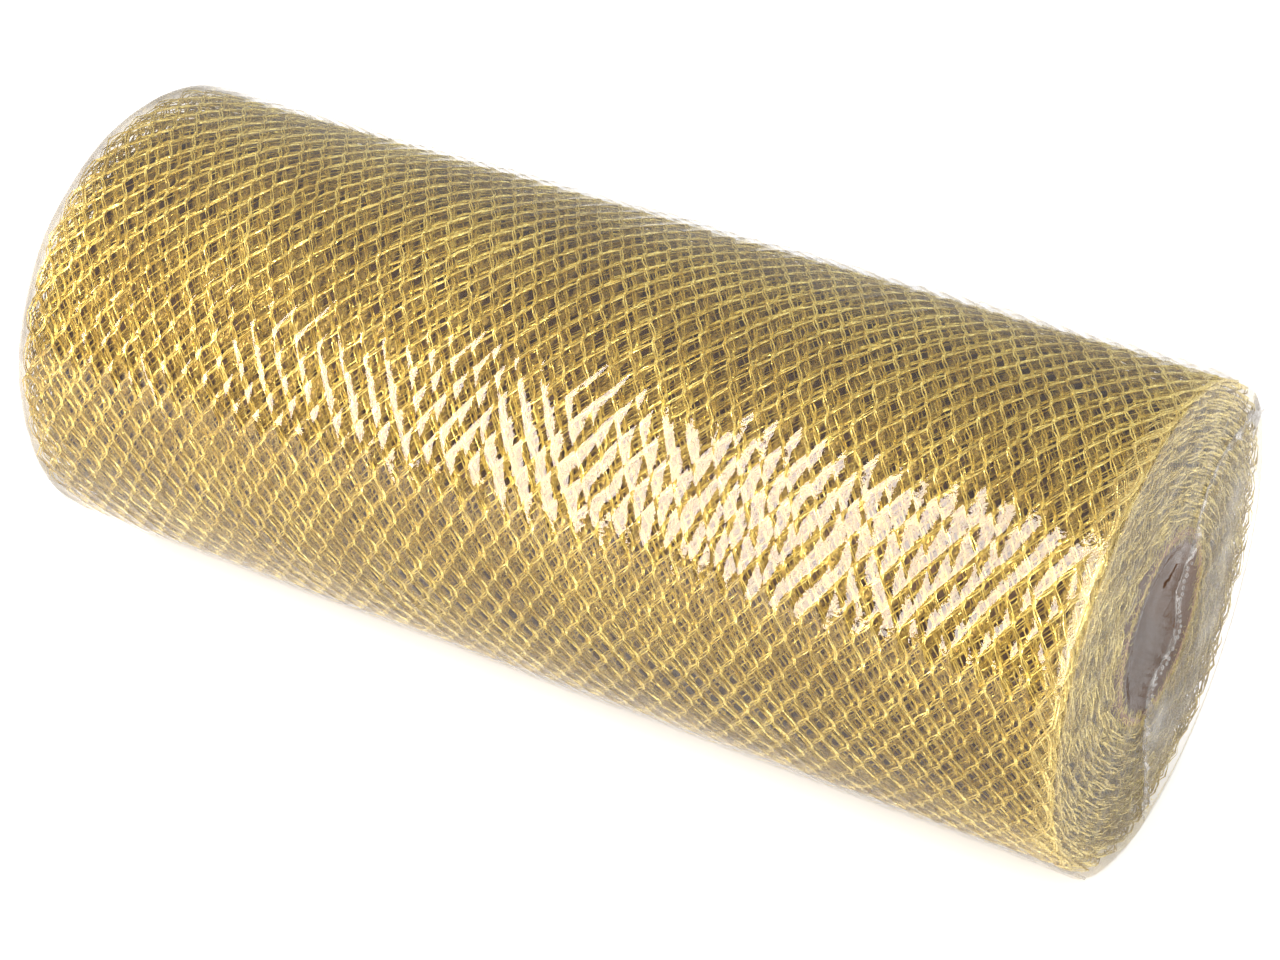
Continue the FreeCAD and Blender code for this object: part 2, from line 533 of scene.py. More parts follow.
@dataclass(frozen=True)
class TinselFinish:
    """Gold foil yarn, with a painted glint: its brighter facets are lightened in the colour as well as made
    smoother.
    """

    name: str
    deep: Colour = (0.58, 0.42, 0.075, 1)
    bright: Colour = (1.0, 0.89, 0.33, 1)
    smoothest: float = 0.22
    roughest: float = 0.62
    grain: float = 1.0

    def material(self, effects: Effects) -> bpy.types.Material:
        """Builds the yarn's material."""
        material, graph = new_material(self.name)
        glint = graph.add("Group", node_tree=effects.glitter)
        glint.inputs["Grain"].default_value = self.grain
        # Painted glint: the glint mask lightens the yarn's colour towards bright, besides making those facets
        # smoother below.
        facets = graph.times(glint.outputs["Glint mask"], 0.6)
        share = graph.plus(facets, graph.times(glint.outputs["Tone"], 0.4))
        shader = graph.add(
            "BsdfPrincipled",
            Base_Color=graph.blend(share, self.deep, self.bright),
            Metallic=0.8,
            Roughness=graph.spread(glint.outputs["Glint mask"], 0.3, 1.0, (self.roughest, self.smoothest)),
            Normal=graph.bump(glint.outputs["Height"], 0.09 * MM, 0.6),
        )
        graph.finish(shader)
        return material


@dataclass(frozen=True)
class PackedNetFinish:
    """The net's deeper turns, packed so close that they read as one surface of crossing yarns. Its near-black
    gaps and its yarn colour, darker than the outer turns', are painted shade.
    """

    name: str
    # Painted shade: the near-black gap colour stands for the shade between the packed yarns, and the yarn
    # colour is darker than the outer turns' for lying deeper.
    gap: Colour = (0.09, 0.045, 0.014, 1)
    yarn: Colour = (0.60, 0.43, 0.10, 1)
    spacing: float = 4.8 * MM

    def material(self, effects: Effects) -> bpy.types.Material:
        """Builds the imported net's material."""
        material, graph = new_material(self.name)
        glint = graph.add("Group", node_tree=effects.glitter)
        where = graph.place()
        cross = []
        for turn in (0.55, -0.55):
            lean = graph.add("Mapping", Vector=where, Rotation=(turn, turn, 0.0))
            scale = 0.32 / self.spacing
            wave = graph.add("TexWave", Vector=lean.outputs[0], Scale=scale, Distortion=3.0, Detail=2.0)
            cross.append(graph.spread(wave.outputs[1], 0.5, 0.95))
        lines = graph.maths("MAXIMUM", cross[0], cross[1])
        # Painted glint: the glint mask lightens the yarn lines' colour; it also sets their roughness and bump.
        share = graph.times(lines, graph.plus(glint.outputs["Glint mask"], 0.25))
        shader = graph.add(
            "BsdfPrincipled",
            Base_Color=graph.blend(share, self.gap, self.yarn),
            Metallic=0.6,
            Roughness=graph.spread(glint.outputs["Glint mask"], 0.0, 1.0, (0.7, 0.35)),
            Normal=graph.bump(graph.plus(lines, glint.outputs["Glint mask"]), 0.3 * MM),
        )
        graph.finish(shader)
        return material


@dataclass(frozen=True)
class BoardFinish:
    """Matt kraft paperboard."""

    name: str
    dark: Colour = (0.16, 0.075, 0.038, 1)
    light: Colour = (0.36, 0.20, 0.11, 1)

    def material(self, effects: Effects) -> bpy.types.Material:
        """Builds the board's material."""
        material, graph = new_material(self.name)
        grain = graph.add("Group", node_tree=effects.fibres)
        uneven = graph.plus(grain.outputs["Fibre"], grain.outputs["Mottle"])
        share = graph.times(uneven, 0.55)
        shader = graph.add(
            "BsdfPrincipled",
            Base_Color=graph.blend(share, self.dark, self.light),
            Roughness=graph.spread(grain.outputs["Fibre"], 0.2, 1.2, (0.95, 0.7)),
            Normal=graph.bump(grain.outputs["Height"], 0.12 * MM, 0.6),
        )
        graph.finish(shader)
        return material


@dataclass(frozen=True)
class FilmFinish:
    """Clear shrink film: it mirrors the light, and is milky where it has gathered."""

    name: str
    tint: Colour = (0.985, 0.975, 0.965, 1)
    milk: Colour = (0.50, 0.485, 0.465, 1)
    refraction: float = 1.50
    gloss_roughness: float = 0.03
    haze: float = 0.006
    crease: float = 1.0
    sag: float = 0.16  # depth of the dishes between the strands, in millimetres
    tight_crumple: float = 0.055
    loose_crumple: float = 0.10
    wall_shine: float = 0.82  # share of the mirrored light that the wall keeps
    end_shine: float = 0.45  # and the ends

    def material(self, effects: Effects) -> bpy.types.Material:
        """Builds the film's material. The piece's haze attribute says where the film is milky."""
        material, graph = new_material(self.name)
        crinkle = graph.add("Group", node_tree=effects.crinkle)
        crinkle.inputs["Crease"].default_value = self.crease
        pads = graph.add("Group", node_tree=effects.pads)
        pads.inputs["Sag"].default_value = self.sag
        loose = graph.maths("SUBTRACT", 1.0, pads.outputs["Wall"])
        crumple = graph.plus(graph.times(loose, self.loose_crumple), self.tight_crumple)
        crumpled = graph.times(crinkle.outputs["Height"], crumple)
        normal = graph.bump(graph.plus(crumpled, pads.outputs["Height"]), MM)
        gathered = graph.add("Attribute", attribute_name="haze", attribute_type="GEOMETRY").outputs["Fac"]
        clouded = graph.times(gathered, graph.plus(crinkle.outputs["Cloud"], 0.6))
        milky = graph.plus(clouded, graph.times(crinkle.outputs["Cloud"], self.haze))
        clear = graph.add("BsdfTransparent", Color=self.tint)
        gloss = graph.add("BsdfPrincipled", Metallic=1.0, Roughness=self.gloss_roughness, Normal=normal)
        gloss.inputs["Base Color"].default_value = (1, 1, 1, 1)
        dull = graph.add("BsdfPrincipled", Base_Color=self.milk, Roughness=0.45, Normal=normal)
        mirror = graph.add("Fresnel", IOR=self.refraction, Normal=normal)
        shine = graph.spread(pads.outputs["Wall"], 0.0, 1.0, (self.end_shine, self.wall_shine))
        glossy = graph.mixed(graph.times(mirror.outputs[0], shine), clear, gloss)
        graph.finish(graph.mixed(milky, glossy, dull))
        return material


@dataclass(frozen=True)
class FloorFinish:
    """A plain pale floor."""

    name: str
    pale: Colour = (0.93, 0.93, 0.93, 1)
    paler: Colour = (0.96, 0.96, 0.96, 1)
    glow: float = 0.35

    def material(self) -> bpy.types.Material:
        """Builds the floor's material."""
        material, graph = new_material(self.name)
        tone = graph.blend(graph.noise(graph.place(), 3.0, 2.0), self.pale, self.paler)
        shader = graph.add("BsdfPrincipled", Base_Color=tone, Roughness=0.9)
        shader.inputs["Emission Color"].default_value = self.paler
        shader.inputs["Emission Strength"].default_value = self.glow
        graph.finish(shader)
        return material


# --------------------------------------------------------------------------------------------------
# The net


@dataclass(frozen=True)
class Ring:
    """One cross-section of a yarn that is drawn out along Y in the flat net."""

    x: float
    y: float
    height: float
    width: float
    thickness: float
    twist: float = 0.0


def drawn_yarn(name: str, rings: Sequence[Ring]) -> bpy.types.Object:
    """A closed three-sided yarn, drawn out from ring to ring.

    Args:
        name: the object's name.
        rings: the yarn's sections, in order along Y.

    Returns:
        The yarn.
    """
    deselect_all()
    first = rings[0]
    start = (first.x, first.y, first.height)
    bpy.ops.mesh.primitive_circle_add(
        vertices=3, radius=0.5, fill_type="NGON", location=start, rotation=(math.pi / 2, 0, 0)
    )
    yarn = settled(name)
    with edit_mode(yarn):
        bpy.ops.transform.resize(value=(first.width, 1, first.thickness), center_override=start)
        for last, ring in zip(rings, rings[1:]):
            step = (ring.x - last.x, ring.y - last.y, ring.height - last.height)
            bpy.ops.mesh.extrude_region_move(TRANSFORM_OT_translate={"value": step})
            centre = (ring.x, ring.y, ring.height)
            grow = (ring.width / last.width, 1, ring.thickness / last.thickness)
            turn_selected(-last.twist, "Y", centre)
            bpy.ops.transform.resize(value=grow, center_override=centre)
            turn_selected(ring.twist, "Y", centre)
    return yarn


@dataclass
class NetPattern:
    """The net's repeat: two families of yarn pairs that cross and are knotted where they cross."""

    cell_width: float = 5.6 * MM
    cell_length: float = 9.2 * MM
    yarn_width: float = 0.49 * MM
    yarn_thickness: float = 0.26 * MM
    pair_gap: float = 0.60 * MM
    knot: float = 0.85 * MM
    rise: float = 0.16 * MM  # how far a strand lies above or below the middle where it crosses
    together: float = 0.075  # how far two strands run side by side, as a share of the cell
    pinch: float = 0.55  # a pair's gap there, as a share of pair_gap
    belly: float = 1.25  # and halfway between two crossings
    forward_twist: float = 0.7
    back_twist: float = -0.5

    def _strand(self, name: str, way: int, fine: bool) -> bpy.types.Object:
        """The yarns of one strand across a cell. Where strands meet, they run side by side for a short way.

        Args:
            name: the object's name.
            way: 1 for a strand that leans towards +X and passes over the others, -1 for the other way.
            fine: whether the strand is a pair of yarns that part between the knots, or one plain yarn.

        Returns:
            The strand.
        """
        reach = self.together
        sides = [(knot, side * reach) for knot in (0, 0.5, 1) for side in (-1, 1)]
        places = [(knot + shift * 0.35, knot + shift, self.pinch) for knot, shift in sides[:-1]]
        if fine:
            places[2:2] = [(0.25, 0.25, self.belly)]
            places[5:5] = [(0.75, 0.75, self.belly)]
        yarns = []
        for number, offset in enumerate((-0.5, 0.5) if fine else (0.0,)):
            rings = [
                Ring(
                    x=self.cell_width * (0.5 + way * (share - 0.5)) + offset * self.pair_gap * spread,
                    y=run * self.cell_length,
                    height=way * self.rise * (1.0 if spread < 1 else 0.4),
                    width=self.yarn_width,
                    thickness=self.yarn_thickness,
                    twist=way * (self.forward_twist if (index + number) % 3 == 1 else self.back_twist),
                )
                for index, (share, run, spread) in enumerate(places)
            ]
            yarns.append(drawn_yarn(f"{name}_{number}", rings))
        return joined(name, yarns)

    def _knot(self, x: float, y: float) -> bpy.types.Object:
        """The small knot where two strands cross: a pressed lump with facets."""
        deselect_all()
        bpy.ops.mesh.primitive_uv_sphere_add(
            segments=4, ring_count=2, radius=self.knot / 2, location=(x, y, 0)
        )
        knot = settled("knot")
        with edit_mode(knot):
            bpy.ops.transform.resize(value=(0.8, 1.15, 0.72), center_override=(x, y, 0))
            turn_selected(0.4, "Z", (x, y, 0))
        return knot

    def cell(self, name: str, fine: bool) -> bpy.types.Object:
        """One repeat of the net, flat, with its corner at the origin: X across the net and Y along it.

        Args:
            name: the object's name.
            fine: whether each strand is a pair of yarns, or one plain yarn as in the turns that lie deeper.

        Returns:
            The cell.
        """
        strands = [self._strand(f"{name}_{way}", way, fine) for way in (1, -1)]
        middle = (self.cell_width / 2, self.cell_length / 2)
        knots = [self._knot(*middle), self._knot(0, 0)] if fine else []
        cell = joined(name, [*strands, *knots])
        face_outwards(cell)
        return cell

    def scallop(self, name: str, reach: float) -> bpy.types.Object:
        """One repeat of the net's finished edge: two short strands and the loop that joins them, towards +X.

        Args:
            name: the object's name.
            reach: how far the edge stands out past the last whole cell.

        Returns:
            The scallop.
        """
        half_x, half_y = self.cell_width / 2, self.cell_length / 2
        section = (self.yarn_width, self.yarn_thickness)
        loop = reach - half_x
        parts = []
        for number, offset in enumerate((-0.5, 0.5)):
            gap = offset * self.pair_gap
            for way in (1, -1):
                rings = [
                    Ring(gap, 0, 0, *section),
                    Ring(half_x * 0.5 + gap, way * half_y * 0.5, 0, *section, 0.5 * way),
                    Ring(half_x + gap, way * half_y, 0, *section),
                ]
                parts.append(drawn_yarn(f"leg_{number}_{way}", rings))
            rings = []
            for share in (-1.0, -0.6, 0.0, 0.6, 1.0):
                bulge = loop * (1 - share * share)
                lift = self.rise * (1 - abs(share)) * (1 if number else -1)
                rings.append(Ring(half_x + bulge + gap, share * half_y, lift, *section, 0.6 * share))
            parts.append(drawn_yarn(f"loop_{number}", rings))
        parts.append(self._knot(half_x, half_y))
        scallop = joined(name, parts)
        face_outwards(scallop)
        return scallop


@dataclass
class WoundNet:
    """The net as it lies on the core: its outer turns yarn by yarn, its edges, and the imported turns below."""

    plan: RollPlan
    effects: Effects
    pattern: NetPattern = field(default_factory=NetPattern)
    edge_reach: float = 4.6 * MM  # from the last whole cell to the edge
    side_margin: float = 0.7 * MM
    offset: float = -0.1 * MM  # of the net's middle from the core's
    fine_turns: int = 2  # with every yarn
    plain_turns: int = 5  # with one yarn for each strand
    sway: float = 0.45 * MM  # slow stray across the net
    stretch: float = 0.5 * MM  # slow stray along it
    lift: float = 0.13 * MM  # slow stray outwards
    waver: float = 0.16 * MM  # quick stray across and along
    jitter: float = 0.045 * MM  # of each vertex
    even_turns: int = 8  # outer turns that hold the same number of rows each
    rows_per_turn: float = 35.65
    drift: float = 2.1 * MM  # how far the turns wander from side to side
    drift_turns: float = 5.0  # turns in one such sway
    edge_ragged: float = 0.5 * MM
    edge_wave: float = 0.22 * MM
    floor_gap: float = 0.12 * MM
    fuzz_count: int = 4200
    fuzz_depth: tuple[float, float] = (0.2 * MM, 2.6 * MM)  # below the net's edge
    fuzz_overlap: float = 0.25 * MM  # over the core's end

    def __post_init__(self) -> None:
        """Works out the spiral and how many cells fit."""
        self.first_radius = self.plan.core_radius + 0.45 * MM
        self.last_radius = self.plan.net_radius - 0.35 * MM
        self.pitch = (self.last_radius - self.first_radius) / self.plan.turns
        self.row_length = self.pattern.cell_length
        self.even_rows = self.even_turns * self.rows_per_turn
        inner_length = float(self.length_at(TURN * (self.plan.turns - self.even_turns)))
        self.rows = math.floor(self.even_rows + inner_length / self.row_length)
        room = 2 * (self.plan.half_net - self.side_margin - self.edge_reach)
        self.columns = round(room / self.pattern.cell_width)
        self.column_width = room / self.columns

    def angle_at(self, along: np.ndarray) -> np.ndarray:
        """The angle wound so far, in radians, at a length along the strip."""
        growth = self.pitch / math.pi
        radius = np.sqrt(self.first_radius**2 + growth * np.maximum(along, 0))
        return (radius - self.first_radius) * TURN / self.pitch

    def length_at(self, angle: np.ndarray) -> np.ndarray:
        """The length along the strip at an angle wound so far."""
        return self.first_radius * angle + self.pitch * angle * angle / (2 * TURN)

    def along_at(self, flat_y: np.ndarray) -> np.ndarray:
        """The length along the strip of a place in the flat net, which runs down from 0 at its outer end.

        The outer turns hold the same number of rows each, so that they lie evenly over one another.

        Args:
            flat_y: places along the flat net.

        Returns:
            The lengths.
        """
        rows = -flat_y / self.row_length
        even = np.minimum(rows, self.even_rows) / self.rows_per_turn
        inner = np.maximum(rows - self.even_rows, 0) * self.row_length
        return self.length_at(TURN * (self.plan.turns - even)) - inner

    def shifts(self, x: np.ndarray, along: np.ndarray) -> tuple[np.ndarray, np.ndarray, np.ndarray]:
        """How far the net has strayed from its even lattice: across, along and outwards.

        Args:
            x: places across the strip.
            along: places along the strip.

        Returns:
            The three shifts.
        """
        turns_in = self.plan.turns - self.angle_at(along) / TURN
        drift = self.drift * np.sin(TURN * turns_in / self.drift_turns)
        across = self.sway * wander(0, 45, 150, x, along) + drift
        further = self.stretch * wander(1, 30, 110, x, along)
        across = across + self.waver * wander(3, 6, 15, x, along)
        further = further + self.waver * wander(4, 6, 15, x, along)
        outwards = self.lift * wander(2, 12, 50, x, along)
        inside = 1 - smooth_step(0.8, 1.0, np.abs(x) / self.plan.half_net)
        return across * (0.35 + 0.65 * inside), further, outwards

    def wind(self, flat: Points) -> Points:
        """Winds points of the flat strip onto the roll, with the net's uneven lie.

        Args:
            flat: rows of the place across, the place along and the height.

        Returns:
            The points on the roll.
        """
        x, flat_y, height = flat.T
        along = self.along_at(flat_y)
        across, further, outwards = self.shifts(x, along)
        x, along, height = x + across, along + further, height + outwards
        angle = self.angle_at(along)
        radius = self.first_radius + self.pitch * angle / TURN + height
        place = angle + self.plan.tail_angle
        return np.stack([x, radius * np.cos(place), radius * np.sin(place)], axis=1)

    def _finish(self, piece: bpy.types.Object, material: bpy.types.Material, seed: int) -> None:
        flat = points_of(piece)
        flat += np.random.default_rng(seed).normal(0, self.jitter, flat.shape)
        wound = self.wind(flat)
        wound[:, 0] = np.clip(wound[:, 0], -self.plan.half_net, self.plan.half_net)
        wound[:, 2] = np.maximum(wound[:, 2], self.floor_gap - self.plan.rest_height)
        place_points(piece, wound)
        declare(piece, material, "net_web")

    def _stretch(self, name: str, cell: bpy.types.Object, first_row: int, last_row: int) -> bpy.types.Object:
        """A stretch of the net, flat, between two rows that are counted inwards from the outer end."""
        piece = own_copy(cell, name)
        array_of(piece, self.columns, Vector((self.column_width, 0, 0)))
        array_of(piece, last_row - first_row, Vector((0, self.row_length, 0)))
        start = (self.offset - self.columns * self.column_width / 2, -last_row * self.row_length, 0)
        place_points(piece, points_of(piece) + np.array(start))
        return piece

    def build_turns(self) -> None:
        """Builds the outer turns, whose yarns show through the film."""
        outer = TinselFinish("gold_tinsel").material(self.effects)
        # The turns below the outermost get a darker copy of the gold: painted shade for lying under the outer
        # turn and deeper in the roll.
        deeper = TinselFinish(
            "gold_tinsel_shaded", deep=(0.44, 0.30, 0.045, 1), bright=(0.90, 0.75, 0.21, 1)
        )
        shaded = deeper.material(self.effects)
        fine, plain = self.pattern.cell("fine_cell", True), self.pattern.cell("plain_cell", False)
        for index in range(self.fine_turns + self.plain_turns):
            halves = 2 if index < self.fine_turns else 1
            marks = [round(self.rows_per_turn * (index + part / halves)) for part in range(halves + 1)]
            for part, (first_row, last_row) in enumerate(zip(marks, marks[1:])):
                cell = fine if halves == 2 else plain
                piece = self._stretch(f"net_turn_{index + 1}_{part + 1}", cell, first_row, last_row)
                self._finish(piece, outer if index == 0 else shaded, SEED + 10 + 2 * index + part)
        for cell in (fine, plain):
            bpy.data.objects.remove(cell)

    def build_edges(self) -> None:
        """Builds the scalloped edges of all the turns, which make the roll's two faces."""
        # The edges get a darker copy of the gold: painted shade that makes the roll's faces darker than its
        # wall.
        finish = TinselFinish(
            "gold_tinsel_edge_shaded", deep=(0.44, 0.31, 0.065, 1), bright=(0.93, 0.80, 0.31, 1), grain=1.3
        )
        material = finish.material(self.effects)
        for side in Side:
            edge = self.pattern.scallop(f"net_edge_{side.name.lower()}", self.edge_reach)
            array_of(edge, self.rows, Vector((0, self.row_length, 0)))
            flat = points_of(edge)
            flat[:, 1] -= self.rows * self.row_length
            flat[:, 0] = side.value * (flat[:, 0] + self.columns * self.column_width / 2) + self.offset
            flat[:, 0] += side.value * self.edge_ragged * wander(5, 4, 16, flat[:, 1], flat[:, 0])
            flat[:, 2] += self.edge_wave * wander(6, 3, 11, flat[:, 1], flat[:, 0])
            place_points(edge, flat)
            face_outwards(edge)
            self._finish(edge, material, SEED + 30 + side.value)

    def build_packed(self) -> None:
        """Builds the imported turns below, as one thick ring that the outer turns and the edges hide."""
        depth = (self.fine_turns + self.plain_turns) * self.pitch + 0.25 * MM
        outer = self.last_radius - depth
        half = self.columns * self.column_width / 2
        deselect_all()
        bpy.ops.mesh.primitive_cylinder_add(
            vertices=192, radius=outer, depth=2 * half, end_fill_type="NGON", rotation=(0, math.pi / 2, 0)
        )
        ring = settled("net_packed_turns")
        select_faces(ring, lambda face: abs(face.normal.x) > 0.9)
        with edit_mode(ring, "KEEP"):
            bpy.ops.mesh.inset(thickness=outer - self.first_radius)
            bpy.ops.mesh.bridge_edge_loops()
        face_outwards(ring)
        declare(ring, PackedNetFinish("packed_net").material(self.effects), "net_web")

    def build_fuzz(self) -> None:
        """Builds the loose fibre ends that make the roll's faces woolly."""
        count = self.fuzz_count
        material = TinselFinish("gold_tinsel_fuzz", smoothest=0.3, roughest=0.6).material(self.effects)
        for side in Side:
            deselect_all()
            fibre = drawn_yarn(
                f"net_fuzz_{side.name.lower()}",
                [
                    Ring(0, 0, 0, 0.11 * MM, 0.09 * MM),
                    Ring(0.35 * MM, 1.1 * MM, 0, 0.14 * MM, 0.1 * MM, 0.8),
                    Ring(-0.1 * MM, 2.3 * MM, 0, 0.08 * MM, 0.06 * MM),
                ],
            )
            face_outwards(fibre)
            corners = len(fibre.data.vertices)
            array_of(fibre, count, Vector((0, 0, 0)))
            draw = np.random.default_rng(SEED + 50 + side.value)
            shape = points_of(fibre).reshape(count, corners, 3)
            spin = draw.uniform(0, TURN, count)[:, None]
            tip = draw.normal(0, 0.35, count)[:, None]
            u = shape[..., 0] * np.cos(spin) - shape[..., 1] * np.sin(spin)
            v = shape[..., 0] * np.sin(spin) + shape[..., 1] * np.cos(spin)
            low, high = self.plan.bore_radius + 0.45 * MM, self.last_radius - 0.8 * MM
            radius = low + (high - low) * draw.uniform(0, 1, count)[:, None] ** 1.9
            place = draw.uniform(0, TURN, count)[:, None]
            depth = draw.uniform(*self.fuzz_depth, count)[:, None]
            over_core = radius < self.plan.core_radius + 0.5 * MM
            depth = np.where(over_core, 0.25 * depth - self.fuzz_overlap, depth)
            reach = self.plan.half_net - depth + shape[..., 2] + np.abs(v) * tip * 0.4
            x = side.value * np.minimum(reach, self.plan.half_net + 0.3 * MM)
            y = radius * np.cos(place) + u * np.cos(place) - v * np.sin(place)
            z = radius * np.sin(place) + u * np.sin(place) + v * np.cos(place)
            place_points(fibre, np.stack([x, y, z], axis=-1).reshape(-1, 3))
            face_outwards(fibre)
            declare(fibre, material, "net_web")

    def build(self) -> None:
        """Builds all of the net."""
        self.build_packed()
        self.build_turns()
        self.build_edges()
        self.build_fuzz()


# --------------------------------------------------------------------------------------------------
# The film


@dataclass
class SealRoute:
    """Where the gathered seal runs over the sealed end, as a smooth line through a few places (Y, Z)."""

    places: tuple[tuple[float, float], ...] = (
        (45.0, 27.5), (37.0, 29.5), (26.0, 29.5), (16.5, 25.5), (12.0, 18.0), (11.8, 9.0), (8.2, 3.0),
        (9.6, -3.5), (8.6, -9.3), (1.5, -12.2), (-4.2, -16.5), (-5.2, -24.0), (-2.0, -35.0), (0.5, -48.5),
    )

    def line(self, count: int) -> Points:
        """Evenly spaced points on the line.

        Args:
            count: how many points.

        Returns:
            Rows of Y and Z, in metres.
        """
        knots = np.array(self.places) * MM
        padded = np.vstack([2 * knots[0] - knots[1], knots, 2 * knots[-1] - knots[-2]])
        pieces = []
        for a, b, c, d in zip(padded, padded[1:], padded[2:], padded[3:]):
            t = np.linspace(0, 1, 24, endpoint=False)[:, None]
            bend = (2 * a - 5 * b + 4 * c - d) * t**2 + (3 * b - a - 3 * c + d) * t**3
            pieces.append(0.5 * (2 * b + (c - a) * t + bend))
        dense = np.vstack([*pieces, knots[-1:]])
        run = np.concatenate([[0], np.cumsum(np.linalg.norm(np.diff(dense, axis=0), axis=1))])
        marks = np.linspace(0, run[-1], count)
        return np.stack([np.interp(marks, run, dense[:, k]) for k in (0, 1)], axis=1)

    def nearest(self, y: np.ndarray, z: np.ndarray) -> tuple[np.ndarray, np.ndarray]:
        """The distance from each point to the line, and how far along the line that is, in metres."""
        line = self.line(260)
        step = float(np.linalg.norm(line[1] - line[0]))
        distance = np.full(y.shape, np.inf)
        along = np.zeros(y.shape)
        for index, (ly, lz) in enumerate(line):
            gap = np.hypot(y - ly, z - lz)
            closer = gap < distance
            distance = np.where(closer, gap, distance)
            along = np.where(closer, index * step, along)
        return distance, along


@dataclass(frozen=True)
class Spot:
    """A place on the sealed end: its middle and its reach in Y and Z, in millimetres, and its strength."""

    y: float
    z: float
    reach_y: float
    reach_z: float
    strength: float = 1.0

    def far(self, y: np.ndarray, z: np.ndarray) -> np.ndarray:
        """The squared distance of places in metres from the middle, as a share of the reach."""
        return ((y / MM - self.y) / self.reach_y) ** 2 + ((z / MM - self.z) / self.reach_z) ** 2


